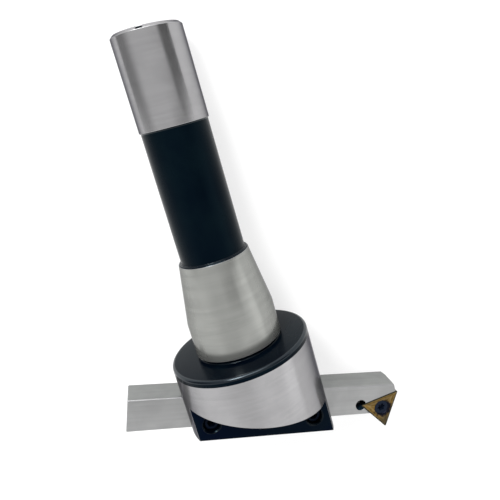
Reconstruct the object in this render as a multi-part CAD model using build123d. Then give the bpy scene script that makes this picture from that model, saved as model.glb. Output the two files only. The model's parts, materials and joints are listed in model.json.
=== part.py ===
from build123d import *
from math import acos, asin, atan2, cos, degrees, hypot, radians, sin, tan
import os

# Fly cutter: a one-piece shank and slanted head, a square bar clamped across the
# head by set screws, and a three-cornered insert screwed to the bar's nose.
# All sizes are in millimetres. The tool frame has its origin where the spindle
# axis meets the head's top face, +Z up the shank, +X towards the insert, and the
# bar's front face in the plane Y = 0. At the end the whole tool is laid down as it
# comes to rest on a table: on its back, on the head's top edge, the shank's rim
# and the bar's nose, with the front of the head and the insert facing up.

# Shank, from the head's top face up
neck_dia = 31.75
neck_length = 13.0
taper_half_angle = 8.425
taper_length = 21.8
shoulder_chamfer = 0.45
relief_dia = 23.2
relief_top = 82.3
spindle_dia = 24.1
shank_length = 114.6
relief_edge = 0.35
rim_chamfer = 1.0
neck_groove_width = 0.9
neck_groove_depth = 0.7
neck_foot_chamfer = 0.4

# Drawbar thread at its tapping size, keyway and the small notch in the top rim
thread_bore_dia = 13.0
thread_bore_depth = 40.0
thread_mouth = 0.9
drill_point_angle = 118.0
key_width = 4.0
key_depth = 2.6
key_length = 50.0
notch_width = 2.0
notch_depth = 0.9
notch_reach = 2.1
notch_angle = -102.0

# Head
head_dia = 50.8
head_edge_radius = 1.0
head_axis_height = 34.4
slant_angle = 19.2
flat_offset = 9.4
shoulder_height = 12.6

# Bar, in the slanted frame of the head's bottom face
bar_side = 12.0
bar_tail = 50.3
bar_chamfer = 0.3
bar_end_chamfer = 0.2
nose_round = 0.6
slide_clearance = 0.05

# Insert, by its inscribed circle, and where its centre lies on the bar
insert_circle = 9.525
insert_thickness = 3.97
insert_corner = 0.4
insert_clearance_angle = 7.0
insert_hole_dia = 4.4
insert_mouth_dia = 6.4
insert_mouth_depth = 1.6
insert_reach = 48.9
insert_rise = 2.1
insert_proud = 0.15
insert_lean = 6.0
breaker_land = 0.3
breaker_ramp = 1.2
breaker_depth = 0.3
breaker_rise = 0.5
breaker_boss_sink = 0.08

# Nose of the bar round the insert
corner_overhang = 0.6
pocket_gap = 0.04
corner_relief_dia = 4.3
corner_relief_extra = 0.6
seat_inset = 1.1
seat_drop = 5.2
seat_lean = 8.0

# Insert screw
insert_screw_dia = 3.5
insert_screw_sink = 0.35
insert_screw_length = 9.0
insert_screw_point = 0.4
insert_hole_extra = 1.0
head_seat_gap = 0.05
lobe_circle_dia = 2.3
lobe_dia = 0.95
lobe_recess_depth = 1.3

# Clamping set screws in the front wall
clamp_screw_dia = 6.0
clamp_screw_length = 8.0
clamp_screw_pitch = 19.0
clamp_screw_count = 3
clamp_socket = 3.0
clamp_socket_depth = 3.0
clamp_end_chamfer = 0.6
thread_clearance = 0.05
clamp_tip_gap = 0.02
hole_mouth_chamfer = 0.4

# How far a cut runs past the surface that it opens, and the least corner of an inset outline
cut_margin = 1.0
least_corner = 0.15

# Worked out from the sizes above
neck_r = neck_dia / 2
head_r = head_dia / 2
relief_r = relief_dia / 2
spindle_r = spindle_dia / 2
taper_top = neck_length + taper_length
taper_top_r = neck_r - taper_length * tan(radians(taper_half_angle))
slant_drop = head_r * tan(radians(slant_angle))
reach_out = 2 * (head_r + slant_drop)
insert_in_r = insert_circle / 2
insert_half_edge = insert_in_r * tan(radians(60))

# The slanted frame has X along the bar and Z square to the head's bottom face
slant = Location((0, 0, -head_axis_height), (0, slant_angle, 0))

# The insert frame lies in the rake face, with X level, Y down and Z away from the front.
# The face leans back from the insert's upper edge, which stands proud of the bar.
upright_frame = slant * Plane(
    origin=(insert_reach, -insert_proud, insert_rise),
    x_dir=(cos(radians(slant_angle)), 0, sin(radians(slant_angle))),
    z_dir=(0, 1, 0),
).location
insert_frame = upright_frame * Pos(0, -insert_in_r, 0) * Rot(insert_lean, 0, 0) * Pos(0, insert_in_r, 0)
lean_depth = 3 * insert_in_r * sin(radians(insert_lean)) + cut_margin


def shank_and_head_profile():
    """Half outline of the turned body, from the head's underside to the top rim."""
    floor = -head_axis_height - slant_drop - cut_margin
    groove_r = neck_r - neck_groove_depth
    outline = Polyline(
        (0, 0, floor),
        (head_r, 0, floor),
        (head_r, 0, 0),
        (groove_r, 0, 0),
        (groove_r, 0, neck_groove_width),
        (neck_r - neck_foot_chamfer, 0, neck_groove_width),
        (neck_r, 0, neck_groove_width + neck_foot_chamfer),
        (neck_r, 0, neck_length),
        (taper_top_r, 0, taper_top),
        (taper_top_r - shoulder_chamfer, 0, taper_top + shoulder_chamfer),
        (relief_r, 0, taper_top + shoulder_chamfer),
        (relief_r, 0, relief_top - relief_edge),
        (spindle_r, 0, relief_top),
        (spindle_r, 0, shank_length - rim_chamfer),
        (spindle_r - rim_chamfer, 0, shank_length),
        (0, 0, shank_length),
        (0, 0, floor),
    )
    return make_face(outline)


def turned_body():
    """The revolved body, with the head's top edge rounded."""
    body = revolve(shank_and_head_profile(), Axis.Z)
    top_face = body.faces().filter_by(Plane.XY).sort_by(lambda face: abs(face.center().Z))[0]
    top_edge = top_face.edges().filter_by(GeomType.CIRCLE).sort_by(SortBy.RADIUS)[-1]
    return fillet(top_edge, head_edge_radius)


def drawbar_bore():
    """Blind bore for the drawbar, with a drilled end and a countersunk mouth."""
    bore_r = thread_bore_dia / 2
    point = bore_r / tan(radians(drill_point_angle / 2))
    floor = shank_length - thread_bore_depth
    outline = Polyline(
        (0, 0, floor - point),
        (bore_r, 0, floor),
        (bore_r, 0, shank_length - thread_mouth),
        (bore_r + thread_mouth, 0, shank_length),
        (bore_r + thread_mouth, 0, shank_length + cut_margin),
        (0, 0, shank_length + cut_margin),
        (0, 0, floor - point),
    )
    return revolve(make_face(outline), Axis.Z)


def keyway():
    """Straight keyway down the back of the shank, with the run-out of a round cutter."""
    slot = SlotOverall(2 * key_length, key_width)
    cutter = extrude(Plane.XZ * Pos(0, shank_length) * Rot(0, 0, 90) * slot, -spindle_r - cut_margin)
    core = Cylinder(spindle_r - key_depth, 3 * key_length).moved(Pos(0, 0, shank_length))
    return cutter - core


def rim_notch():
    """Small notch cut across the chamfer of the top rim."""
    block = Box(notch_reach + cut_margin, notch_width, 2 * notch_depth,
                align=(Align.MIN, Align.CENTER, Align.CENTER))
    return Rot(0, 0, notch_angle) * Pos(spindle_r - notch_reach, 0, shank_length) * block


def clamp_places():
    """Where each clamping screw's axis crosses the flat, centred on the spindle axis."""
    height = bar_side / 2
    centre = -height * tan(radians(slant_angle))
    first = centre - clamp_screw_pitch * (clamp_screw_count - 1) / 2
    return [(first + i * clamp_screw_pitch, height) for i in range(clamp_screw_count)]


def clamp_hole(x, z):
    """Tapped hole from the flat into the slot, with a chamfered mouth."""
    hole_r = clamp_screw_dia / 2
    wall = flat_offset + slide_clearance
    drill = Cylinder(hole_r, wall + cut_margin, align=(Align.CENTER, Align.CENTER, Align.MIN))
    mouth = Cone(hole_r + hole_mouth_chamfer, hole_r, hole_mouth_chamfer,
                 align=(Align.CENTER, Align.CENTER, Align.MIN))
    return slant * Pos(x, -flat_offset, z) * Rot(-90, 0, 0) * (drill + mouth)


def cutter_body():
    body = turned_body()
    below = Box(2 * reach_out, 2 * reach_out, reach_out, align=(Align.CENTER, Align.CENTER, Align.MAX))
    front = Box(2 * reach_out, reach_out, reach_out, align=(Align.CENTER, Align.MAX, Align.MAX))
    slot = Box(2 * reach_out, bar_side + 2 * slide_clearance, reach_out,
               align=(Align.CENTER, Align.MIN, Align.MAX))
    body -= slant * below
    body -= slant * Pos(0, -flat_offset, shoulder_height) * front
    body -= slant * Pos(0, -slide_clearance, bar_side + slide_clearance) * slot
    body -= drawbar_bore()
    body -= keyway()
    body -= rim_notch()
    for x, z in clamp_places():
        body -= clamp_hole(x, z)
    return body


def insert_outline(inset=0.0):
    """The insert's three-cornered outline in its own frame, moved in by the inset."""
    corner = max(insert_corner - inset, least_corner)
    return fillet(triangle(insert_in_r - inset).vertices(), corner)


def triangle(in_radius):
    """Equal-sided triangle about the origin, one corner pointing along +Y."""
    half = in_radius * tan(radians(60))
    left, right, tip = (-half, -in_radius), (half, -in_radius), (0, 2 * in_radius)
    return make_face(Polyline(left, right, tip, left))


def breaker_groove():
    """Chip-breaker groove: down from a narrow land and up again to the boss round the hole."""
    low = breaker_land + breaker_ramp
    top = low + breaker_rise
    outer = loft([insert_outline(breaker_land), Pos(0, 0, breaker_depth) * insert_outline(low)])
    boss = loft([
        Pos(0, 0, breaker_boss_sink) * insert_outline(top),
        Pos(0, 0, breaker_depth) * insert_outline(low),
    ])
    return outer - boss


def insert():
    blank = extrude(insert_outline(), insert_thickness, taper=insert_clearance_angle)
    hole = Cylinder(insert_hole_dia / 2, 3 * insert_thickness)
    mouth = Cone(insert_mouth_dia / 2, insert_hole_dia / 2, insert_mouth_depth,
                 align=(Align.CENTER, Align.CENTER, Align.MIN))
    return insert_frame * (blank - breaker_groove() - hole - mouth)


def seat_flank(turn):
    """Block outside one slanted side of the insert's seat, leaning in towards the back."""
    block = Box(reach_out, 2 * reach_out, 2 * reach_out, align=(Align.MIN, Align.CENTER, Align.CENTER))
    side = Pos(insert_in_r - seat_inset, 0, insert_thickness) * Rot(0, -seat_lean, 0)
    return Rot(0, 0, turn) * side * block


def seat_drop_block():
    """The seat under the insert, where it hangs below the bar's bottom face, flush with the bar's back."""
    block = Box(2 * insert_half_edge, insert_in_r + seat_drop, bar_side,
                align=(Align.CENTER, Align.MAX, Align.MIN))
    seat = Pos(0, seat_drop, insert_thickness) * block
    seat = insert_frame * (seat - seat_flank(30) - seat_flank(150))
    behind = Box(2 * reach_out, reach_out, 2 * reach_out, align=(Align.CENTER, Align.MIN, Align.CENTER))
    return seat - Pos(0, bar_side, 0) * behind


def pocket():
    """Wedge with the insert's own two walls, open in front, below and to the right."""
    wall = insert_in_r + pocket_gap + lean_depth * tan(radians(insert_clearance_angle))
    corner_x = -wall * tan(radians(60))
    side = reach_out
    wedge = make_face(Polyline(
        (corner_x, -wall),
        (corner_x + side, -wall),
        (corner_x + side * cos(radians(60)), -wall + side * sin(radians(60))),
        (corner_x, -wall),
    ))
    cut = extrude(wedge, lean_depth + insert_thickness, taper=insert_clearance_angle)
    return Pos(0, 0, -lean_depth) * cut


def corner_relief():
    """Round hole that keeps the insert's inner corner clear of the pocket."""
    depth = lean_depth + insert_thickness + corner_relief_extra
    hole = Cylinder(corner_relief_dia / 2, depth, align=(Align.CENTER, Align.CENTER, Align.MIN))
    return Pos(-insert_half_edge, -insert_in_r, -lean_depth) * hole


def toolholder_bar():
    reach = insert_reach + 2 * insert_circle
    blank = Pos(-bar_tail, 0, 0) * Box(bar_tail + reach, bar_side, bar_side, align=Align.MIN)
    blank = chamfer(blank.edges().filter_by(Axis.X), bar_chamfer)
    blank = chamfer(blank.faces().sort_by(Axis.X)[0].edges(), bar_end_chamfer)
    bar = slant * blank
    corner_x = insert_half_edge - insert_corner / tan(radians(30)) + insert_corner
    beyond = Box(reach_out, 2 * reach_out, 2 * reach_out, align=(Align.MIN, Align.CENTER, Align.CENTER))
    bar -= insert_frame * Pos(corner_x - corner_overhang, 0, 0) * beyond
    back_edge = bar.faces().sort_by(Axis.X)[-1].edges().sort_by(Axis.Y)[-1]
    bar = fillet(back_edge, nose_round)
    bar -= insert_frame * seat_flank(30)
    bar += seat_drop_block()
    bar -= insert_frame * pocket()
    bar -= insert_frame * corner_relief()
    tapped = Cylinder(insert_screw_dia / 2 + thread_clearance, insert_screw_length + insert_hole_extra,
                      align=(Align.CENTER, Align.CENTER, Align.MIN))
    bar -= insert_frame * Pos(0, 0, insert_screw_sink) * tapped
    return bar


def lobed_recess():
    """Six-lobed driver recess, as a sketch."""
    centre = Circle(lobe_circle_dia / 2)
    for i in range(6):
        centre += Rot(0, 0, 60 * i) * Pos(lobe_circle_dia / 2, 0) * Circle(lobe_dia / 2)
    return centre


def insert_screw():
    """Countersunk screw whose head follows the insert's mouth, with a lobed recess."""
    shaft_r = insert_screw_dia / 2
    neck = insert_hole_dia / 2 - head_seat_gap
    slope = (insert_mouth_dia - insert_hole_dia) / 2 / insert_mouth_depth
    cone_height = insert_mouth_depth - insert_screw_sink
    outline = Polyline(
        (0, 0, 0),
        (neck + slope * cone_height, 0, 0),
        (neck, 0, cone_height),
        (shaft_r, 0, cone_height + neck - shaft_r),
        (shaft_r, 0, insert_screw_length - insert_screw_point),
        (shaft_r - insert_screw_point, 0, insert_screw_length),
        (0, 0, insert_screw_length),
        (0, 0, 0),
    )
    screw = revolve(make_face(outline), Axis.Z)
    screw -= extrude(lobed_recess(), lobe_recess_depth)
    return insert_frame * Pos(0, 0, insert_screw_sink) * screw


def clamp_screw(x, z):
    """Socket set screw: flat point on the bar's front face, hexagon socket outwards."""
    screw_r = clamp_screw_dia / 2 - thread_clearance
    body = Cylinder(screw_r, clamp_screw_length, align=(Align.CENTER, Align.CENTER, Align.MAX))
    body = chamfer(body.edges().filter_by(GeomType.CIRCLE), clamp_end_chamfer)
    socket = extrude(RegularPolygon(clamp_socket / 2, 6, major_radius=False), clamp_socket_depth)
    body -= Pos(0, 0, -clamp_screw_length) * socket
    return slant * Pos(x, -clamp_tip_gap, z) * Rot(-90, 0, 0) * body


def table_dip():
    """Angle by which the shank points down, lying on the head's rounded top edge and its own rim."""
    rise = head_r - head_edge_radius - spindle_r
    run = shank_length - rim_chamfer + head_edge_radius
    return atan2(rise, run) + asin(head_edge_radius / hypot(rise, run))


def table_azimuth(bar):
    """Direction of the table about the spindle axis, once the tool has rolled onto the bar's nose."""
    dip = table_dip()
    depth = (shank_length - rim_chamfer) * sin(dip) + spindle_r * cos(dip)
    turns = []
    for corner in [edge @ share for edge in bar.edges() for share in (0, 0.25, 0.5, 0.75, 1)]:
        reach = hypot(corner.X, corner.Y) * cos(dip)
        need = depth - corner.Z * sin(dip)
        if corner.X > head_r and reach > need:
            turns.append(atan2(corner.Y, corner.X) + acos(need / reach))
    return max(turns)


parts = {
    "cutter_body": cutter_body(),
    "toolholder_bar": toolholder_bar(),
    "cutting_insert": insert(),
    "insert_screw": insert_screw(),
}
for number, (x, z) in enumerate(clamp_places(), start=1):
    parts[f"clamp_screw_{number}"] = clamp_screw(x, z)

# Lay the tool down as it rests, and put the middle of its footprint at the origin
roll = Rot(0, 0, 90 - degrees(table_azimuth(parts["toolholder_bar"])))
lay = Rot(-90 - degrees(table_dip()), 0, 0) * roll
resting = Compound(children=[lay * part for part in parts.values()]).bounding_box()
middle = resting.center()
place = Pos(-middle.X, -middle.Y, -resting.min.Z) * lay

os.makedirs("parts", exist_ok=True)
for name, part in parts.items():
    export_step(place * part, f"parts/{name}.step")
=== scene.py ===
import bmesh
import bpy
import json
import math
from mathutils import Matrix, Vector

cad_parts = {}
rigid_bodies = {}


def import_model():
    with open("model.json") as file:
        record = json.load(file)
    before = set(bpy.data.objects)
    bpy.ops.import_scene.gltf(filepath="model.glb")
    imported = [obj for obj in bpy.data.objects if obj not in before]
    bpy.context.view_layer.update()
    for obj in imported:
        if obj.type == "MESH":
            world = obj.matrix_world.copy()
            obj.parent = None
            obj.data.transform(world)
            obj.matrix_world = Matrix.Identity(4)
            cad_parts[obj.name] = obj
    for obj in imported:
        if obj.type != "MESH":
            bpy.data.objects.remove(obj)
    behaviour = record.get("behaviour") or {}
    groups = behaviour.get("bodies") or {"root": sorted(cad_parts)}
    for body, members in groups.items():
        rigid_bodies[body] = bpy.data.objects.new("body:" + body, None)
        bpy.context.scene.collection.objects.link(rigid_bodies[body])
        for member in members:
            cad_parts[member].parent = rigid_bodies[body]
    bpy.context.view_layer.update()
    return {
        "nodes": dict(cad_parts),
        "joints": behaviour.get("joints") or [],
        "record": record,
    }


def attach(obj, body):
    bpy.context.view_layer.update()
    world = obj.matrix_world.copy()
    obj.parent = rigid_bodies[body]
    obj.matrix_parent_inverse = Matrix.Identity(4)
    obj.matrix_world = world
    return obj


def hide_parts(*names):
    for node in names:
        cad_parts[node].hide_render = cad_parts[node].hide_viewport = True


for leftover in list(bpy.data.objects):  # the start-up objects would count in the sizes
    bpy.data.objects.remove(leftover)

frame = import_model()
print("frame loaded:", ", ".join(sorted(frame["nodes"])))


# Working frames, in millimetres. Each finished mesh is moved from its own frame to the shared one.
# The shank frame has its origin where the spindle axis meets the head's top face, +Z up the
# shank and +X towards the insert. The bar frame lies in the head's slanted underside, with X
# along the bar. The insert frame lies in the rake face, with Y down and Z into the bar.

millimetre = 0.001
mounts = {mount["name"]: mount for mount in frame["record"]["mounts"]}
slide = frame["joints"][0]

shankSizes = {
    "neckRadius": 15.875,
    "neckLength": 13.0,
    "taperLength": 21.8,
    "taperAngle": 8.425,
    "shoulder": 0.45,
    "reliefRadius": 11.6,
    "reliefEdge": 0.35,
    "landRadius": mounts["spindle_land"]["dims"]["r_mm"],
    "landLength": mounts["spindle_land"]["dims"]["length_mm"],
    "rim": 1.0,
    "grooveWidth": 0.9,
    "grooveDepth": 0.7,
    "neckFoot": 0.4,
    "keyWidth": 4.0,
    "keyDepth": 2.6,
    "keyLength": 50.0,
    "notchWidth": 2.0,
    "notchDepth": 0.9,
    "notchReach": 2.1,
    "notchAngle": -102.0,
}

headSizes = {
    "radius": 25.4,
    "topEdge": 1.0,
    "blackBand": 2.3,
    "axisHeight": 34.4,
    "flatOffset": 9.4,
    "shoulderHeight": 12.6,
    "slotSide": 12.0,
    "slotPlay": 0.05,
    "holeRadius": 3.0,
    "holePitch": 19.0,
    "holeCount": 3,
    "holeMouth": 0.4,
}

insertSizes = {
    "reach": 48.9,
    "proud": 0.15,
    "rise": 2.1,
    "lean": 6.0,
    "inRadius": 4.7625,
    "reliefRadius": 2.15,
    "edge": 0.05,
}


def shankFrame():
    up = Vector(mounts["spindle_taper"]["axis"]).normalized()
    back = up.cross(Vector(slide["axis"])).normalized()
    right = back.cross(up)
    origin = Vector(mounts["spindle_taper"]["pos_m"]) - up * shankSizes["neckLength"] * millimetre
    turned = Matrix((right, back, up)).transposed().to_4x4()
    return Matrix.Translation(origin) @ turned @ Matrix.Scale(millimetre, 4)


def insertFrame():
    s = insertSizes
    towardsEdge = Matrix.Translation((0, -s["inRadius"], 0))
    level = Matrix(((1, 0, 0), (0, 0, 1), (0, -1, 0))).to_4x4()
    centre = Matrix.Translation((s["reach"], -s["proud"], s["rise"]))
    unslanted = Matrix.Rotation(-slantAngle, 4, "Y")
    lean = Matrix.Rotation(math.radians(s["lean"]), 4, "X")
    return barTilt @ centre @ unslanted @ level @ towardsEdge @ lean @ towardsEdge.inverted()


shankPlace = shankFrame()
slideInShank = (shankPlace.to_3x3().inverted() @ Vector(slide["axis"])).normalized()
slantAngle = -math.atan2(slideInShank.z, slideInShank.x)
barTilt = Matrix.Translation((0, 0, -headSizes["axisHeight"])) @ Matrix.Rotation(slantAngle, 4, "Y")
barPlace = shankPlace @ barTilt
insertPlace = shankPlace @ insertFrame()


# Node helpers

def addNode(tree, kind, **fixed):
    node = tree.nodes.new("ShaderNode" + kind)
    for name, value in fixed.items():
        setattr(node, name, value)
    return node


def feed(tree, target, value):
    if isinstance(value, bpy.types.NodeSocket):
        tree.links.new(value, target)
    else:
        target.default_value = value


def calc(tree, operation, *values):
    node = addNode(tree, "Math", operation=operation)
    for socket, value in zip(node.inputs, values):
        feed(tree, socket, value)
    return node.outputs[0]


def vectorCalc(tree, operation, first, second=(0, 0, 0)):
    node = addNode(tree, "VectorMath", operation=operation)
    feed(tree, node.inputs[0], first)
    feed(tree, node.inputs[1], second)
    return node.outputs["Value" if operation in ("DOT_PRODUCT", "LENGTH") else "Vector"]


def between(tree, value, low, high, newLow=0.0, newHigh=1.0):
    node = addNode(tree, "MapRange", interpolation_type="SMOOTHSTEP")
    for socket, given in zip(node.inputs, (value, low, high, newLow, newHigh)):
        feed(tree, socket, given)
    return node.outputs["Result"]


def cloud(tree, vector, scale, detail=2.0):
    node = addNode(tree, "TexNoise")
    feed(tree, node.inputs["Vector"], vector)
    feed(tree, node.inputs["Scale"], scale)
    feed(tree, node.inputs["Detail"], detail)
    return node.outputs["Fac"]


def blendValue(tree, share, first, second):
    node = addNode(tree, "Mix", data_type="FLOAT")
    for index, value in ((0, share), (2, first), (3, second)):
        feed(tree, node.inputs[index], value)
    return node.outputs[0]


def blendColour(tree, share, first, second, way="MIX"):
    node = addNode(tree, "Mix", data_type="RGBA", blend_type=way)
    for index, value in ((0, share), (6, first), (7, second)):
        feed(tree, node.inputs[index], value)
    return node.outputs[2]


def newGroup(name, inputs, outputs):
    tree = bpy.data.node_groups.new(name, "ShaderNodeTree")
    for label, kind, value in inputs:
        socket = tree.interface.new_socket(name=label, in_out="INPUT", socket_type="NodeSocket" + kind)
        socket.default_value = value
    for label, kind in outputs:
        tree.interface.new_socket(name=label, in_out="OUTPUT", socket_type="NodeSocket" + kind)
    return tree, tree.nodes.new("NodeGroupInput").outputs, tree.nodes.new("NodeGroupOutput").inputs


def useGroup(tree, group, **given):
    node = addNode(tree, "Group", node_tree=group)
    for name, value in given.items():
        feed(tree, node.inputs[name], value)
    return node.outputs


# Effects that several finishes share, with scales in clouds a millimetre

effectSizes = {
    "coarseScale": 0.9,
    "fineScale": 6.0,
    "fineShare": 0.9,
    "patchScale": 0.12,
    "faintestPatch": 0.45,
    "speckScale": 2.2,
    "rubGrain": 1.4,
    "rubReach": 0.1,
    "rubReachShare": 0.8,
    "rubLeast": 1.25,
    "rubGain": 0.7,
    "rubFade": 0.12,
}


def makeToolLines():
    inputs = [("Position", "Vector", (0, 0, 0)), ("Lay", "Vector", (0.05, 0.05, 1))]
    inputs += [("Fineness", "Float", 1.0), ("Rings", "Float", 0.0)]
    tree, given, result = newGroup("toolLines", inputs, [("Height", "Float"), ("Shade", "Float")])
    radius = vectorCalc(tree, "LENGTH", vectorCalc(tree, "MULTIPLY", given["Position"], (1, 1, 0)))
    ringed = addNode(tree, "CombineXYZ")  # on flat turned faces the lines are rings
    feed(tree, ringed.inputs["Z"], calc(tree, "MULTIPLY", radius, given["Rings"]))
    placed = vectorCalc(tree, "ADD", given["Position"], ringed.outputs[0])
    stretched = vectorCalc(tree, "MULTIPLY", placed, given["Lay"])
    e = effectSizes
    coarse = cloud(tree, stretched, calc(tree, "MULTIPLY", given["Fineness"], e["coarseScale"]), 3)
    fine = cloud(tree, stretched, calc(tree, "MULTIPLY", given["Fineness"], e["fineScale"]), 2)
    spots = cloud(tree, given["Position"], e["patchScale"], 1)
    patch = between(tree, spots, 0.35, 0.65, e["faintestPatch"], 1.0)
    both = calc(tree, "ADD", coarse, calc(tree, "MULTIPLY", fine, e["fineShare"]))
    feed(tree, result["Height"], calc(tree, "MULTIPLY", both, patch))
    lifted = between(tree, coarse, 0.3, 0.7, -1, 1)
    feed(tree, result["Shade"], calc(tree, "MULTIPLY", lifted, patch))
    return tree


def makeHandling():
    inputs = [("Position", "Vector", (0, 0, 0)), ("Scale", "Float", 0.15)]
    tree, given, result = newGroup("handling", inputs, [("Smudge", "Float"), ("Speck", "Float")])
    broad = cloud(tree, given["Position"], given["Scale"], 4)
    feed(tree, result["Smudge"], between(tree, broad, 0.38, 0.66))
    specks = cloud(tree, given["Position"], effectSizes["speckScale"], 2)
    feed(tree, result["Speck"], between(tree, specks, 0.68, 0.76))
    return tree


def makeRubbedEdge():
    inputs = [("Position", "Vector", (0, 0, 0)), ("Amount", "Float", 0.5)]
    tree, given, result = newGroup("rubbedEdge", inputs, [("Bare", "Float")])
    e = effectSizes
    grain = cloud(tree, given["Position"], e["rubGrain"], 4)
    reach = cloud(tree, given["Position"], e["rubReach"], 2)
    level = calc(tree, "ADD", grain, calc(tree, "MULTIPLY", reach, e["rubReachShare"]))
    gain = calc(tree, "MULTIPLY", given["Amount"], e["rubGain"])
    least = calc(tree, "SUBTRACT", e["rubLeast"], gain)
    feed(tree, result["Bare"], between(tree, level, least, calc(tree, "ADD", least, e["rubFade"])))
    return tree


toolLines = makeToolLines()
handling = makeHandling()
rubbedEdge = makeRubbedEdge()
print("shared effects made")


# Finishes

groundLook = {
    "colour": (0.342, 0.339, 0.345),
    "edgeTint": (0.10, 0.10, 0.12),
    "metal": 0.86,
    "shadeSpread": 0.035,
    "smudgeScale": 0.13,
    "smudgeDarkening": 0.06,
    "roughness": 0.17,
    "smudgeRoughness": 0.04,
    "lineHeight": 0.000005,
    "lay": (0.04, 0.04, 1.0),
    "fineness": 1.0,
}

taperLook = {
    "colour": (0.290, 0.295, 0.280),
    "edgeTint": (0.36, 0.36, 0.36),
    "metal": 0.72,
    "shadeSpread": 0.07,
    "roughness": 0.20,
}

barLook = {
    "colour": (0.306, 0.308, 0.308),
    "edgeTint": (0.42, 0.46, 0.42),
    "metal": 0.86,
    "shadeSpread": 0.05,
    "smudgeScale": 0.13,
    "smudgeDarkening": 0.07,
    "roughness": 0.28,
    "smudgeRoughness": 0.07,
    "lineHeight": 0.000006,
    "lay": (0.03, 1.0, 1.0),
    "fineness": 0.8,
}

edgeLook = {
    "colour": (0.35, 0.35, 0.355),
    "roughness": 0.33,
}

blackLook = {
    "colour": (0.0004, 0.0015, 0.0040),
    "dustyColour": (0.0012, 0.0036, 0.0058),
    "bareColour": (0.10, 0.10, 0.11),
    "tint": (0.34, 0.78, 1.0),
    "roughness": 0.20,
    "smudgeScale": 0.07,
    "smudgeRoughness": 0.08,
    "dust": 0.8,
    "gloss": 0.06,
    "lineHeight": 0.000004,
    "lay": (0.04, 0.04, 1.0),
    "fineness": 1.3,
}

milledLook = {
    "colour": (0.0003, 0.0012, 0.0062),
    "tint": (0.24, 0.50, 1.0),
    "lay": (0.04, 1.0, 1.0),
}

# painted shade: the relief hole's walls are made near-black where the hole lies in shade
reliefShadeLook = {
    "colour": (0.010, 0.022, 0.036),
}

rimLook = {
    "roughness": 0.17,
    "gloss": 0.42,
    "tint": (0.75, 0.9, 1.0),
}

coatingLook = {
    "gold": (0.182, 0.111, 0.028),
    # painted shade: the facets nearest the upper side are shaded brown, and smudges take the same brown
    "brown": (0.058, 0.036, 0.009),
    # painted shade: the facets nearest the right side are shaded tan
    "tan": (0.120, 0.080, 0.030),
    # painted highlight: the light lines where the chip breaker's rise, ridges and inner land edge catch
    # the light
    "ridge": (0.265, 0.195, 0.095),
    "rimColour": (0.040, 0.037, 0.025),
    # painted shadow: a dark patch round the screw, set a little off its centre
    "heart": (0.002, 0.004, 0.011),
    "edgeTint": (0.6, 0.6, 0.6),
    "rimWidth": 0.46,
    "lineWidth": 0.16,
    "rampEnd": 1.5,
    "riseEnd": 2.0,
    "sideBlend": 0.06,
    "lowFrom": 3.0,
    "lowTo": 6.5,
    # where the painted shadow round the screw sits, how far it reaches, how softly it fades and how much
    # its edge wanders
    "heartPlace": (0.6, 0.9, 0),
    "heartRadius": 3.8,
    "heartFade": 0.9,
    "heartWander": 2.5,
    "lineWander": 0.5,
    "wander": 0.22,
    "wanderScale": 0.7,
    "smudgeScale": 0.5,
    "smudgeRoughness": 0.08,
    "roughness": 0.30,
    "grainScale": 7.0,
    "grainHeight": 0.000006,
}

screwLook = {
    "colour": (0.004, 0.007, 0.016),
    "speckColour": (0.022, 0.028, 0.040),
    "roughness": 0.26,
    "gloss": 0.10,
    "tint": (0.55, 0.70, 1.0),
    "smudgeScale": 0.6,
    "smudgeRoughness": 0.12,
    "grainScale": 5.0,
    "grainHeight": 0.000004,
}

clampScrewLook = {
    "colour": (0.001, 0.003, 0.009),
    "gloss": 0.08,
}


def newFinish(name, place):
    material = bpy.data.materials.new(name)
    material.use_nodes = True
    tree = material.node_tree
    centred = addNode(tree, "Mapping", vector_type="TEXTURE")
    turned = Matrix([row.normalized() for row in place.to_3x3().transposed()]).transposed()
    feed(tree, centred.inputs["Vector"], addNode(tree, "TexCoord").outputs["Object"])
    feed(tree, centred.inputs["Location"], place.translation)
    feed(tree, centred.inputs["Rotation"], turned.to_euler())
    feed(tree, centred.inputs["Scale"], (millimetre, millimetre, millimetre))
    return material, tree, tree.nodes["Principled BSDF"], centred.outputs[0]


def addBump(tree, shader, height, distance):
    bump = addNode(tree, "Bump")
    feed(tree, bump.inputs["Height"], height)
    feed(tree, bump.inputs["Distance"], distance)
    feed(tree, shader.inputs["Normal"], bump.outputs["Normal"])


def bareSteel(name, place, look, rings=0.0):
    material, tree, shader, position = newFinish(name, place)
    cut = {"Lay": look["lay"], "Fineness": look["fineness"], "Rings": rings}
    lines = useGroup(tree, toolLines, Position=position, **cut)
    marks = useGroup(tree, handling, Position=position, Scale=look["smudgeScale"])
    shade = calc(tree, "MULTIPLY", lines["Shade"], look["shadeSpread"])
    light = calc(tree, "SUBTRACT", calc(tree, "ADD", 1.0, shade),
                 calc(tree, "MULTIPLY", marks["Smudge"], look["smudgeDarkening"]))
    tint = addNode(tree, "CombineColor")
    for channel in tint.inputs:
        feed(tree, channel, light)
    colour = blendColour(tree, 1.0, (*look["colour"], 1), tint.outputs[0], "MULTIPLY")
    feed(tree, shader.inputs["Base Color"], colour)
    spread = calc(tree, "MULTIPLY", marks["Smudge"], look["smudgeRoughness"])
    feed(tree, shader.inputs["Roughness"], calc(tree, "ADD", look["roughness"], spread))
    feed(tree, shader.inputs["Metallic"], look["metal"])
    feed(tree, shader.inputs["Specular Tint"], (*look["edgeTint"], 1))
    addBump(tree, shader, lines["Height"], look["lineHeight"])
    return material


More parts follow.
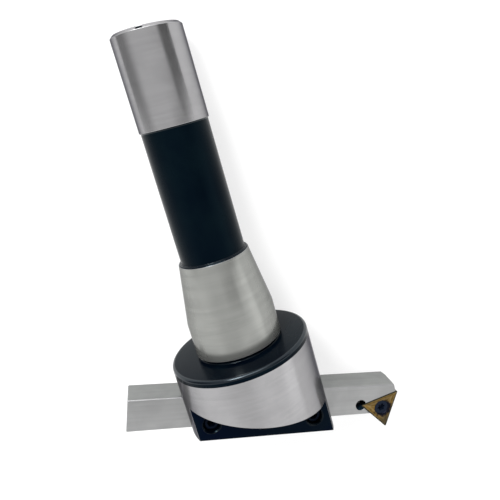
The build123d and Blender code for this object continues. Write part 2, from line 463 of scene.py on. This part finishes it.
def blackened(name, place, look, rings=0.0, rubbed=0.0):
    material, tree, shader, position = newFinish(name, place)
    cut = {"Lay": look["lay"], "Fineness": look["fineness"], "Rings": rings}
    lines = useGroup(tree, toolLines, Position=position, **cut)
    marks = useGroup(tree, handling, Position=position, Scale=look["smudgeScale"])
    dusty = calc(tree, "MULTIPLY", marks["Smudge"], look["dust"])
    colour = blendColour(tree, dusty, (*look["colour"], 1), (*look["dustyColour"], 1))
    spread = calc(tree, "MULTIPLY", marks["Smudge"], look["smudgeRoughness"])
    feed(tree, shader.inputs["Roughness"], calc(tree, "ADD", look["roughness"], spread))
    if rubbed:
        bare = useGroup(tree, rubbedEdge, Position=position, Amount=rubbed)["Bare"]
        colour = blendColour(tree, bare, colour, (*look["bareColour"], 1))
        feed(tree, shader.inputs["Metallic"], bare)
    feed(tree, shader.inputs["Base Color"], colour)
    feed(tree, shader.inputs["Specular IOR Level"], look["gloss"])
    feed(tree, shader.inputs["Specular Tint"], (*look["tint"], 1))
    addBump(tree, shader, lines["Height"], look["lineHeight"])
    return material


# How far a point lies in from the nearest side and the next, and which side that is
def triangleSides(tree, position):
    across = []
    for angle in (-90, 30, 150):  # straight out over the upper, right and left sides
        side = (math.cos(math.radians(angle)), math.sin(math.radians(angle)), 0)
        across.append(vectorCalc(tree, "DOT_PRODUCT", position, side))
    upper, right, left = across
    most = calc(tree, "MAXIMUM", calc(tree, "MAXIMUM", upper, right), left)
    least = calc(tree, "MINIMUM", calc(tree, "MINIMUM", upper, right), left)
    middle = calc(tree, "MULTIPLY", calc(tree, "ADD", most, least), -1.0)
    nearest = calc(tree, "SUBTRACT", insertSizes["inRadius"], most)
    apart = calc(tree, "SUBTRACT", most, middle)
    blend = coatingLook["sideBlend"]
    byUpper = between(tree, calc(tree, "SUBTRACT", most, upper), 0.0, blend, 1, 0)
    byRight = between(tree, calc(tree, "SUBTRACT", most, right), 0.0, blend, 1, 0)
    return nearest, apart, byUpper, byRight


def coated(name, place, look):
    material, tree, shader, position = newFinish(name, place)
    nearest, apart, byUpper, byRight = triangleSides(tree, position)
    drift = cloud(tree, position, look["wanderScale"], 1)
    wander = between(tree, drift, 0.25, 0.75, -look["wander"], look["wander"])
    inwards = calc(tree, "ADD", nearest, calc(tree, "MULTIPLY", wander, look["lineWander"]))
    marks = useGroup(tree, handling, Position=position, Scale=look["smudgeScale"])
    width = look["lineWidth"]
    rim = look["rimWidth"]
    heart = look["heartRadius"]
    fade = look["heartFade"]
    low = vectorCalc(tree, "DOT_PRODUCT", position, (0, 1, 0))
    lineFrom = calc(tree, "ABSOLUTE", calc(tree, "SUBTRACT", inwards, rim + width))
    rise = calc(tree, "MULTIPLY", between(tree, inwards, look["rampEnd"] - width, look["rampEnd"]),
                between(tree, inwards, look["riseEnd"], look["riseEnd"] + width, 1, 0))
    fromScrewShadow = vectorCalc(tree, "LENGTH", vectorCalc(tree, "SUBTRACT", position, look["heartPlace"]))
    fromScrewShadow = calc(tree, "ADD", fromScrewShadow, calc(tree, "MULTIPLY", wander, look["heartWander"]))
    layers = [  # each colour and how strongly it covers the ones before it
        # painted light and shade on the facets, brown nearest the upper side and tan nearest the right;
        # then brown smudges
        ("brown", calc(tree, "MULTIPLY", byUpper, 0.45)),
        ("tan", calc(tree, "MULTIPLY", byRight, 0.5)),
        ("brown", calc(tree, "MULTIPLY", marks["Smudge"], 0.55)),
        # painted highlights along the rise, along the ridge where two facets meet and along a line just
        # inside the rim
        ("ridge", calc(tree, "MULTIPLY", rise, 0.4)),
        ("ridge", calc(tree, "MULTIPLY", between(tree, apart, 0.0, width * 2, 1, 0), 0.6)),
        ("ridge", calc(tree, "MULTIPLY", between(tree, lineFrom, 0.0, width, 1, 0), 0.5)),
        ("rimColour", between(tree, low, look["lowFrom"], look["lowTo"], 0, 0.75)),
        # painted shadow round the screw
        ("heart", between(tree, fromScrewShadow, heart - fade, heart + fade, 0.97, 0)),
        ("rimColour", between(tree, inwards, rim - width / 2, rim + width / 2, 1, 0)),
    ]
    colour = (*look["gold"], 1)
    for label, share in layers:
        colour = blendColour(tree, share, colour, (*look[label], 1))
    feed(tree, shader.inputs["Base Color"], colour)
    spread = calc(tree, "MULTIPLY", marks["Smudge"], look["smudgeRoughness"])
    feed(tree, shader.inputs["Roughness"], calc(tree, "ADD", look["roughness"], spread))
    feed(tree, shader.inputs["Metallic"], 1.0)
    feed(tree, shader.inputs["Specular Tint"], (*look["edgeTint"], 1))
    addBump(tree, shader, cloud(tree, position, look["grainScale"], 3), look["grainHeight"])
    return material


def screwSteel(name, place, look):
    material, tree, shader, position = newFinish(name, place)
    marks = useGroup(tree, handling, Position=position, Scale=look["smudgeScale"])
    colour = blendColour(tree, marks["Speck"], (*look["colour"], 1), (*look["speckColour"], 1))
    feed(tree, shader.inputs["Base Color"], colour)
    spread = calc(tree, "MULTIPLY", marks["Smudge"], look["smudgeRoughness"])
    feed(tree, shader.inputs["Roughness"], calc(tree, "ADD", look["roughness"], spread))
    feed(tree, shader.inputs["Specular IOR Level"], look["gloss"])
    feed(tree, shader.inputs["Specular Tint"], (*look["tint"], 1))
    addBump(tree, shader, cloud(tree, position, look["grainScale"], 2), look["grainHeight"])
    return material


groundSteel = bareSteel("groundSteel", shankPlace, groundLook, rings=1.0)
taperSteel = bareSteel("taperSteel", shankPlace, {**groundLook, **taperLook}, rings=1.0)
groundEdge = bareSteel("groundEdge", shankPlace, {**groundLook, **edgeLook}, rings=1.0)
blackTurned = blackened("blackTurned", shankPlace, blackLook, rings=1.0)
blackMilled = blackened("blackMilled", barPlace, {**blackLook, **milledLook})
blackRim = blackened("blackRim", shankPlace, {**blackLook, **rimLook}, rings=1.0)
blackEdge = blackened("blackEdge", shankPlace, {**blackLook, **rimLook}, rings=1.0, rubbed=0.2)
barSteel = bareSteel("barSteel", barPlace, barLook)
barEdge = bareSteel("barEdge", barPlace, {**barLook, **edgeLook})
# painted shade in the relief hole
reliefBlack = blackened("reliefBlack", barPlace, {**blackLook, **reliefShadeLook})
goldCoating = coated("goldCoating", insertPlace, coatingLook)
insertScrewSteel = screwSteel("insertScrewSteel", insertPlace, screwLook)
clampScrewSteel = screwSteel("clampScrewSteel", barPlace, {**screwLook, **clampScrewLook})
print("finishes made")


# Mesh helpers

finishSizes = {
    "latheSteps": 192,
    "holeSteps": 48,
    "keySteps": 16,
    "roundingSteps": 6,
    "edgeBreak": 0.14,
    "edgeSegments": 2,
    "sharpAngle": 30.0,
    "beyond": 60.0,
    "past": 1.0,
    "sameSpot": 0.0005,
    "flatWithin": 0.3,
    "onWall": 0.99,
    "facing": 0.999,
    "stripPasses": 4,
}

sameSlot = -1  # the broken edges take the material beside them


def pieceFrom(name, shape, materials):
    mesh = bpy.data.meshes.new(name)
    shape.to_mesh(mesh)
    shape.free()
    piece = bpy.data.objects.new(name, mesh)
    bpy.context.scene.collection.objects.link(piece)
    for material in materials:
        mesh.materials.append(material)
    return piece


def applyModifiers(piece):
    graph = bpy.context.evaluated_depsgraph_get()
    finished = bpy.data.meshes.new_from_object(piece.evaluated_get(graph))
    piece.modifiers.clear()
    piece.data = finished


def breakEdges(piece, width, edgeSlot):
    piece.data.shade_smooth()
    piece.data.set_sharp_from_angle(angle=math.radians(finishSizes["sharpAngle"]))
    bevel = piece.modifiers.new("edgeBreak", "BEVEL")
    bevel.width = width
    bevel.segments = finishSizes["edgeSegments"]
    bevel.profile = 0.5
    bevel.limit_method = "ANGLE"
    bevel.angle_limit = math.radians(finishSizes["sharpAngle"])
    bevel.use_clamp_overlap = False
    bevel.harden_normals = True
    bevel.material = edgeSlot
    applyModifiers(piece)


def subtract(piece, cutters):
    for cutter in cutters:
        cut = piece.modifiers.new("cut", "BOOLEAN")
        cut.operation = "DIFFERENCE"
        cut.solver = "EXACT"
        cut.object = cutter
    applyModifiers(piece)
    for cutter in cutters:
        bpy.data.objects.remove(cutter)


def settle(piece, place, body, slotName, *nodes):
    piece.data.transform(place)
    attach(piece, body)
    if nodes:
        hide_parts(*nodes)
    print(piece.name + ":", len(piece.data.polygons), "faces")


def cutterFrom(shape, place, slotIndex):
    bmesh.ops.transform(shape, matrix=place, verts=shape.verts)
    bmesh.ops.recalc_face_normals(shape, faces=shape.faces)
    for face in shape.faces:
        face.material_index = slotIndex
    return pieceFrom("cutter", shape, [])


def blockCutter(low, high, place, slotIndex):
    shape = bmesh.new()
    bmesh.ops.create_cube(shape, size=1.0)
    size = [b - a for a, b in zip(low, high)]
    middle = [(a + b) / 2 for a, b in zip(low, high)]
    bmesh.ops.scale(shape, vec=size, verts=shape.verts)
    bmesh.ops.translate(shape, vec=middle, verts=shape.verts)
    return cutterFrom(shape, place, slotIndex)


def turn(outline, steps):
    shape = bmesh.new()
    corners = [shape.verts.new((r, 0, z)) for r, z in outline]
    edges = [shape.edges.new(pair) for pair in zip(corners, corners[1:])]
    bmesh.ops.spin(shape, geom=corners + edges, cent=(0, 0, 0), axis=(0, 0, 1), dvec=(0, 0, 0),
                   angle=2 * math.pi, steps=steps, use_merge=True)
    bmesh.ops.remove_doubles(shape, verts=shape.verts, dist=finishSizes["sameSpot"])
    return shape


def arcPoints(centre, radius, startAngle, endAngle, steps):
    points = []
    for i in range(steps + 1):
        angle = math.radians(startAngle + (endAngle - startAngle) * i / steps)
        points.append((centre[0] + radius * math.cos(angle), centre[1] + radius * math.sin(angle)))
    return points


def weldedCopy(node, place):
    shape = bmesh.new()
    shape.from_mesh(frame["nodes"][node].data)
    bmesh.ops.transform(shape, matrix=place.inverted(), verts=shape.verts)
    bmesh.ops.remove_doubles(shape, verts=shape.verts, dist=finishSizes["sameSpot"])
    bmesh.ops.dissolve_limit(shape, angle_limit=math.radians(finishSizes["flatWithin"]),
                             verts=shape.verts, edges=shape.edges)
    bmesh.ops.recalc_face_normals(shape, faces=shape.faces)
    return shape


# Shank and head: one outline spun round the spindle axis, then cut

steelSlot, taperSlot, blackSlot, milledSlot, rimSlot, steelEdgeSlot, blackEdgeSlot = range(7)


def landBottom():
    middle = shankPlace.inverted() @ Vector(mounts["spindle_land"]["pos_m"])
    return middle.z - shankSizes["landLength"] / 2


def shankTop():
    return landBottom() + shankSizes["landLength"] + shankSizes["rim"]


drawbarThread = {
    "minorRadius": mounts["drawbar_thread"]["dims"]["r_mm"],
    "majorRadius": 7.0,
    "mouthRadius": 7.4,
    "pitch": 1.0,
    "depth": 40.0,
    "pointAngle": 118.0,
    "crest": 0.25,
    "root": 0.85,
    "sunk": 0.03,
    "stopShort": 0.1,
    "stepsPerTurn": 64,
}


def shankOutline():
    s, h, t = shankSizes, headSizes, drawbarThread
    floor = -h["axisHeight"] - h["radius"]
    taperTop = s["neckLength"] + s["taperLength"]
    taperRadius = s["neckRadius"] - s["taperLength"] * math.tan(math.radians(s["taperAngle"]))
    grooveRadius = s["neckRadius"] - s["grooveDepth"]
    reliefTop = landBottom()
    top = shankTop()
    boreFloor = top - t["depth"]
    point = t["majorRadius"] / math.tan(math.radians(t["pointAngle"] / 2))
    outline = [(0, floor), (h["radius"], floor), (h["radius"], -h["blackBand"])]
    edgeCentre = (h["radius"] - h["topEdge"], -h["topEdge"])
    outline += arcPoints(edgeCentre, h["topEdge"], 0, 90, finishSizes["roundingSteps"])
    outline += [
        (grooveRadius, 0),
        (grooveRadius, s["grooveWidth"]),
        (s["neckRadius"] - s["neckFoot"], s["grooveWidth"]),
        (s["neckRadius"], s["grooveWidth"] + s["neckFoot"]),
        (s["neckRadius"], s["neckLength"]),
        (taperRadius, taperTop),
        (taperRadius - s["shoulder"], taperTop + s["shoulder"]),
        (s["reliefRadius"], taperTop + s["shoulder"]),
        (s["reliefRadius"], reliefTop - s["reliefEdge"]),
        (s["landRadius"], reliefTop),
        (s["landRadius"], top - s["rim"]),
        (s["landRadius"] - s["rim"], top),
        (t["mouthRadius"], top),
        (t["majorRadius"], top - t["mouthRadius"] + t["majorRadius"]),
        (t["majorRadius"], boreFloor),
        (0, boreFloor - point),
    ]
    return outline


def cutUnderside(shape):
    geometry = list(shape.verts) + list(shape.edges) + list(shape.faces)
    result = bmesh.ops.bisect_plane(shape, geom=geometry, plane_co=barTilt.translation,
                                    plane_no=-barTilt.col[2].to_3d(), clear_outer=True)
    rim = [item for item in result["geom_cut"] if isinstance(item, bmesh.types.BMEdge)]
    bmesh.ops.contextual_create(shape, geom=rim)
    bmesh.ops.recalc_face_normals(shape, faces=shape.faces)


# The finish of each turned face, before the flats are cut
def turnedFinish(centre):
    s, h = shankSizes, headSizes
    radius = math.hypot(centre.x, centre.y)
    if s["grooveWidth"] + s["neckFoot"] < centre.z < s["neckLength"] + s["taperLength"]:
        return taperSlot
    if centre.z > landBottom() and radius > drawbarThread["mouthRadius"]:
        return steelSlot
    if centre.z < -h["blackBand"] and radius > h["radius"] * finishSizes["onWall"]:
        return steelSlot
    if radius > h["radius"] - h["topEdge"] and -h["topEdge"] < centre.z < 0:
        return rimSlot
    return blackSlot


def keyCutter():
    s = shankSizes
    half = s["keyWidth"] / 2
    top = shankTop()
    end = (0, top - s["keyLength"] + half)
    outline = [(half, top + half)]
    outline += arcPoints(end, half, 0, -180, finishSizes["keySteps"])
    outline += [(-half, top + half)]
    shape = bmesh.new()
    floor = s["landRadius"] - s["keyDepth"]
    face = shape.faces.new([shape.verts.new((x, floor, z)) for x, z in outline])
    swept = bmesh.ops.extrude_face_region(shape, geom=[face])
    moved = [item for item in swept["geom"] if isinstance(item, bmesh.types.BMVert)]
    bmesh.ops.translate(shape, vec=(0, s["keyDepth"] + half, 0), verts=moved)
    return cutterFrom(shape, Matrix(), blackSlot)


def holeTilts():
    height = headSizes["slotSide"] / 2
    centre = -height * math.tan(slantAngle)
    first = centre - headSizes["holePitch"] * (headSizes["holeCount"] - 1) / 2
    inward = Matrix.Rotation(math.radians(-90), 4, "X")
    tilts = []
    for i in range(headSizes["holeCount"]):
        mouth = Matrix.Translation((first + i * headSizes["holePitch"], -headSizes["flatOffset"], height))
        tilts.append(barTilt @ mouth @ inward)
    return tilts


def holeCutter(tilt):
    h, past = headSizes, finishSizes["past"]
    depth = h["flatOffset"] + h["slotPlay"] + past
    mouth = h["holeRadius"] + h["holeMouth"]
    outline = [(0, depth), (h["holeRadius"], depth), (h["holeRadius"], h["holeMouth"])]
    outline += [(mouth, 0), (mouth, -past), (0, -past)]
    return cutterFrom(turn(outline, finishSizes["holeSteps"]), tilt, blackSlot)


def headCutters():
    h, far = headSizes, finishSizes["beyond"]
    shoulder = (far, -h["flatOffset"], h["shoulderHeight"])
    front = blockCutter((-far, -far, -far), shoulder, barTilt, milledSlot)
    play = h["slotPlay"]
    top = h["slotSide"] + play
    slot = blockCutter((-far, -play, -far), (far, top, top), barTilt, milledSlot)
    return [front, slot] + [holeCutter(tilt) for tilt in holeTilts()]


def notchCutter():
    s, past = shankSizes, finishSizes["past"]
    low = (s["landRadius"] - s["notchReach"], -s["notchWidth"] / 2, shankTop() - s["notchDepth"])
    high = (s["landRadius"] + past, s["notchWidth"] / 2, shankTop() + past)
    return blockCutter(low, high, Matrix.Rotation(math.radians(s["notchAngle"]), 4, "Z"), blackSlot)


# Each half of a broken edge takes after the face that it touches
def sortEdgeStrips(piece):
    mesh = piece.data
    beside = {}
    for face in mesh.polygons:
        for key in face.edge_keys:
            beside.setdefault(key, []).append(face.index)
    waiting = {face.index for face in mesh.polygons if face.material_index == steelEdgeSlot}
    for _ in range(finishSizes["stripPasses"]):
        decided = {}
        for index in waiting:
            around = {n for key in mesh.polygons[index].edge_keys for n in beside[key]} - waiting
            slots = {mesh.polygons[n].material_index for n in around}
            if slots & {steelSlot, taperSlot, steelEdgeSlot}:
                decided[index] = steelEdgeSlot
            elif slots:
                decided[index] = blackEdgeSlot
        for index, slotIndex in decided.items():
            mesh.polygons[index].material_index = slotIndex
        waiting -= set(decided)


shankMaterials = [groundSteel, taperSteel, blackTurned, blackMilled, blackRim, groundEdge, blackEdge]


def makeShankAndHead():
    shape = turn(shankOutline(), finishSizes["latheSteps"])
    cutUnderside(shape)
    for face in shape.faces:
        face.material_index = turnedFinish(face.calc_center_median())
        if face.normal.dot(-barTilt.col[2].to_3d()) > finishSizes["facing"]:
            face.material_index = milledSlot
    piece = pieceFrom("shank_and_head", shape, shankMaterials)
    subtract(piece, headCutters() + [keyCutter(), notchCutter()])
    breakEdges(piece, finishSizes["edgeBreak"], steelEdgeSlot)
    sortEdgeStrips(piece)
    settle(piece, shankPlace, "head_and_shank", "ground_steel", "cutter_body")


makeShankAndHead()


# Drawbar thread: a ridge swept down the bore along its helix

def makeDrawbarThread():
    t = drawbarThread
    start = shankTop() - t["mouthRadius"] + t["majorRadius"] - t["root"] / 2
    length = t["depth"] - t["mouthRadius"] + t["majorRadius"] - t["root"]
    turns = length / t["pitch"] - t["stopShort"]
    shape = bmesh.new()
    root = t["majorRadius"] + t["sunk"]
    profile = [(root, t["root"] / 2), (t["minorRadius"], t["crest"] / 2)]
    profile += [(t["minorRadius"], -t["crest"] / 2), (root, -t["root"] / 2)]
    corners = [shape.verts.new((r, 0, start + z)) for r, z in profile]
    edges = [shape.edges.new((corners[i], corners[(i + 1) % 4])) for i in range(4)]
    steps = round(turns * t["stepsPerTurn"])
    bmesh.ops.spin(shape, geom=corners + edges, cent=(0, 0, 0), axis=(0, 0, 1),
                   dvec=(0, 0, -t["pitch"] / t["stepsPerTurn"]), angle=2 * math.pi * turns, steps=steps)
    bmesh.ops.holes_fill(shape, edges=[edge for edge in shape.edges if edge.is_boundary])
    bmesh.ops.recalc_face_normals(shape, faces=shape.faces)
    piece = pieceFrom("drawbar_thread", shape, [blackTurned])
    piece.data.shade_smooth()
    piece.data.set_sharp_from_angle(angle=math.radians(finishSizes["sharpAngle"]))
    settle(piece, shankPlace, "head_and_shank", "ground_steel")


makeDrawbarThread()


# Bar: the imported shape with its edges broken and the relief hole's walls painted near-black as shade

barSizes = {
    "edge": 0.10,
    "reliefMargin": 0.03,
}

barEdgeSlot, reliefShadeSlot = 1, 2


def makeBar():
    shape = weldedCopy("toolholder_bar", barPlace)
    barInInsert = insertFrame().inverted() @ barTilt
    halfEdge = insertSizes["inRadius"] * math.tan(math.radians(60))
    corner = Vector((-halfEdge, -insertSizes["inRadius"]))
    # faces on the relief hole's wall take the painted shade
    for face in shape.faces:
        fromAxis = ((barInInsert @ face.calc_center_median()).xy - corner).length
        if fromAxis < insertSizes["reliefRadius"] + barSizes["reliefMargin"]:
            face.material_index = reliefShadeSlot
    piece = pieceFrom("square_bar", shape, [barSteel, barEdge, reliefBlack])
    breakEdges(piece, barSizes["edge"], barEdgeSlot)
    settle(piece, barPlace, "tool_bar", "bar_steel", "toolholder_bar")


makeBar()


# Insert and screws

def makeInsert():
    piece = pieceFrom("carbide_insert", weldedCopy("cutting_insert", insertPlace), [goldCoating])
    breakEdges(piece, insertSizes["edge"], sameSlot)
    settle(piece, insertPlace, "tool_bar", "coated_carbide", "cutting_insert")


screwSizes = {
    "insertEdge": 0.06,
    "clampEdge": 0.08,
}


def makeScrews():
    piece = pieceFrom("lobe_screw", weldedCopy("insert_screw", insertPlace), [insertScrewSteel])
    breakEdges(piece, screwSizes["insertEdge"], sameSlot)
    settle(piece, insertPlace, "tool_bar", "dark_screw", "insert_screw")
    for number in range(1, headSizes["holeCount"] + 1):
        node = "clamp_screw_%d" % number
        piece = pieceFrom("set_screw_%d" % number, weldedCopy(node, barPlace), [clampScrewSteel])
        breakEdges(piece, screwSizes["clampEdge"], sameSlot)
        settle(piece, barPlace, "head_and_shank", "clamp_screw_steel", node)


makeInsert()
makeScrews()


# Camera at the photograph's place, worked out in the shank frame

cameraFit = {
    "place": (-8.860, -192.199, 88.945),
    "yaw": 12.674,
    "pitch": -11.826,
    "roll": 14.666,
    "focalPixels": 551.823,
    "centre": (294.372, 192.177),
    "framePixels": 500,
    "sensor": 36.0,
    "nearest": 0.01,
}


def makeCamera():
    c = cameraFit
    yaw, pitch, roll = (math.radians(c[name]) for name in ("yaw", "pitch", "roll"))
    ahead = math.cos(pitch)
    forward = Vector((math.sin(yaw) * ahead, math.cos(yaw) * ahead, math.sin(pitch)))
    level = Vector((math.cos(yaw), -math.sin(yaw), 0))
    down = forward.cross(level)
    right = math.cos(roll) * level + math.sin(roll) * down
    turned = Matrix((right, right.cross(forward), -forward)).transposed()
    camera = bpy.data.objects.new("camera", bpy.data.cameras.new("camera"))
    bpy.context.scene.collection.objects.link(camera)
    rowTurn = shankPlace.to_3x3() * (1 / millimetre)
    place = Matrix.Translation(shankPlace @ Vector(c["place"]))
    camera.matrix_world = place @ (rowTurn @ turned).to_4x4()
    half = c["framePixels"] / 2
    camera.data.sensor_width = c["sensor"]
    camera.data.lens = c["sensor"] * c["focalPixels"] / c["framePixels"]
    camera.data.shift_x = (half - c["centre"][0]) / c["framePixels"]
    camera.data.shift_y = (c["centre"][1] - half) / c["framePixels"]
    camera.data.clip_start = c["nearest"]
    bpy.context.scene.camera = camera


makeCamera()
print("camera placed")


# Floor, studio and lamp. The floor is lifted to white where the camera, metal or glass sees it.

floorLook = {
    "halfSize": 2.0,
    "colour": (0.42, 0.42, 0.42),
    "roughness": 0.8,
    "gloss": 0.1,
    "lift": 0.62,
}


def makeFloor():
    shape = bmesh.new()
    bmesh.ops.create_grid(shape, x_segments=1, y_segments=1, size=floorLook["halfSize"])
    material = bpy.data.materials.new("paleFloor")
    material.use_nodes = True
    tree = material.node_tree
    shader = tree.nodes["Principled BSDF"]
    feed(tree, shader.inputs["Base Color"], (*floorLook["colour"], 1))
    feed(tree, shader.inputs["Roughness"], floorLook["roughness"])
    feed(tree, shader.inputs["Specular IOR Level"], floorLook["gloss"])
    path = addNode(tree, "LightPath").outputs
    seen = calc(tree, "MAXIMUM", path["Is Camera Ray"], path["Is Glossy Ray"])
    seen = calc(tree, "MAXIMUM", seen, path["Is Transmission Ray"])
    feed(tree, shader.inputs["Emission Color"], (1, 1, 1, 1))
    feed(tree, shader.inputs["Emission Strength"], calc(tree, "MULTIPLY", seen, floorLook["lift"]))
    material.cycles.emission_sampling = "NONE"  # the lift is only seen, it lights nothing
    pieceFrom("floor", shape, [material])


# Soft panels and cards round the tool, in degrees from +X and up from the floor: the middle's
# azimuth and elevation, the width and height, how wide the side and top edges fade, the brightness
studio = {
    "brightness": 0.85,
    "panels": [
        (-90, 18, 176, 88, 8, 36, 1.30),  # wall in front
        (-17, 5, 30, 30, 4, 14, 1.70),  # bright strip on the right
        (-2, 54, 17, 36, 8, 14, 0.35),  # grey card high on the right
        (157, 2, 46, 74, 6, 34, 0.24),  # grey card on the left
        (13.5, 12, 25, 46, 2, 14, 0.02),  # black card on the right
        (86, 16, 40, 26, 12, 12, 6.50),  # soft lamp behind
    ],
}

panelLabels = ("Azimuth", "Elevation", "Width", "Height", "Side Fade", "Top Fade")


def makeSoftPanel():
    inputs = [("Direction", "Vector", (0, 0, 1))]
    inputs += [(label, "Float", 0.1) for label in panelLabels]
    tree, given, result = newGroup("softPanel", inputs, [("Mask", "Float")])
    turned = addNode(tree, "VectorRotate", rotation_type="Z_AXIS")
    feed(tree, turned.inputs["Vector"], given["Direction"])
    feed(tree, turned.inputs["Angle"], calc(tree, "MULTIPLY", given["Azimuth"], -1.0))
    parts = addNode(tree, "SeparateXYZ")
    feed(tree, parts.inputs[0], turned.outputs[0])
    across = calc(tree, "ABSOLUTE", calc(tree, "ARCTAN2", parts.outputs["Y"], parts.outputs["X"]))
    rise = calc(tree, "ARCSINE", parts.outputs["Z"])
    upDown = calc(tree, "ABSOLUTE", calc(tree, "SUBTRACT", rise, given["Elevation"]))
    masks = []
    for distance, size, soft in ((across, "Width", "Side Fade"), (upDown, "Height", "Top Fade")):
        half = calc(tree, "MULTIPLY", given[size], 0.5)
        fade = calc(tree, "MULTIPLY", given[soft], 0.5)
        inner = calc(tree, "SUBTRACT", half, fade)
        outer = calc(tree, "ADD", half, fade)
        masks.append(between(tree, distance, inner, outer, 1, 0))
    feed(tree, result["Mask"], calc(tree, "MULTIPLY", *masks))
    return tree


def makeStudio():
    softPanel = makeSoftPanel()
    world = bpy.data.worlds.new("studio")
    bpy.context.scene.world = world
    world.use_nodes = True
    tree = world.node_tree
    direction = vectorCalc(tree, "NORMALIZE", addNode(tree, "TexCoord").outputs["Generated"])
    brightness = studio["brightness"]
    for panel in studio["panels"]:
        placed = {label: math.radians(angle) for label, angle in zip(panelLabels, panel)}
        mask = useGroup(tree, softPanel, Direction=direction, **placed)["Mask"]
        brightness = blendValue(tree, mask, brightness, panel[-1])
    background = tree.nodes["Background"]
    feed(tree, background.inputs["Color"], (1, 1, 1, 1))
    feed(tree, background.inputs["Strength"], brightness)


lampLook = {
    "azimuth": 96.0,
    "elevation": 36.0,
    "away": 0.65,
    "size": 0.20,
    "brightness": 27.0,
}


def makeLamp():
    az, el = math.radians(lampLook["azimuth"]), math.radians(lampLook["elevation"])
    aim = Vector((math.cos(az) * math.cos(el), math.sin(az) * math.cos(el), math.sin(el)))
    data = bpy.data.lights.new("lamp", "AREA")
    data.shape = "DISK"
    data.size = lampLook["size"]
    data.energy = lampLook["brightness"] * math.pi * math.pi * (lampLook["size"] / 2) ** 2
    lamp = bpy.data.objects.new("lamp", data)
    bpy.context.scene.collection.objects.link(lamp)
    lamp.location = shankPlace.translation + aim * lampLook["away"]
    lamp.rotation_euler = aim.to_track_quat("Z", "Y").to_euler()


makeFloor()
makeStudio()
makeLamp()
bpy.context.scene.view_settings.view_transform = "Standard"
print("floor, studio and lamp made")
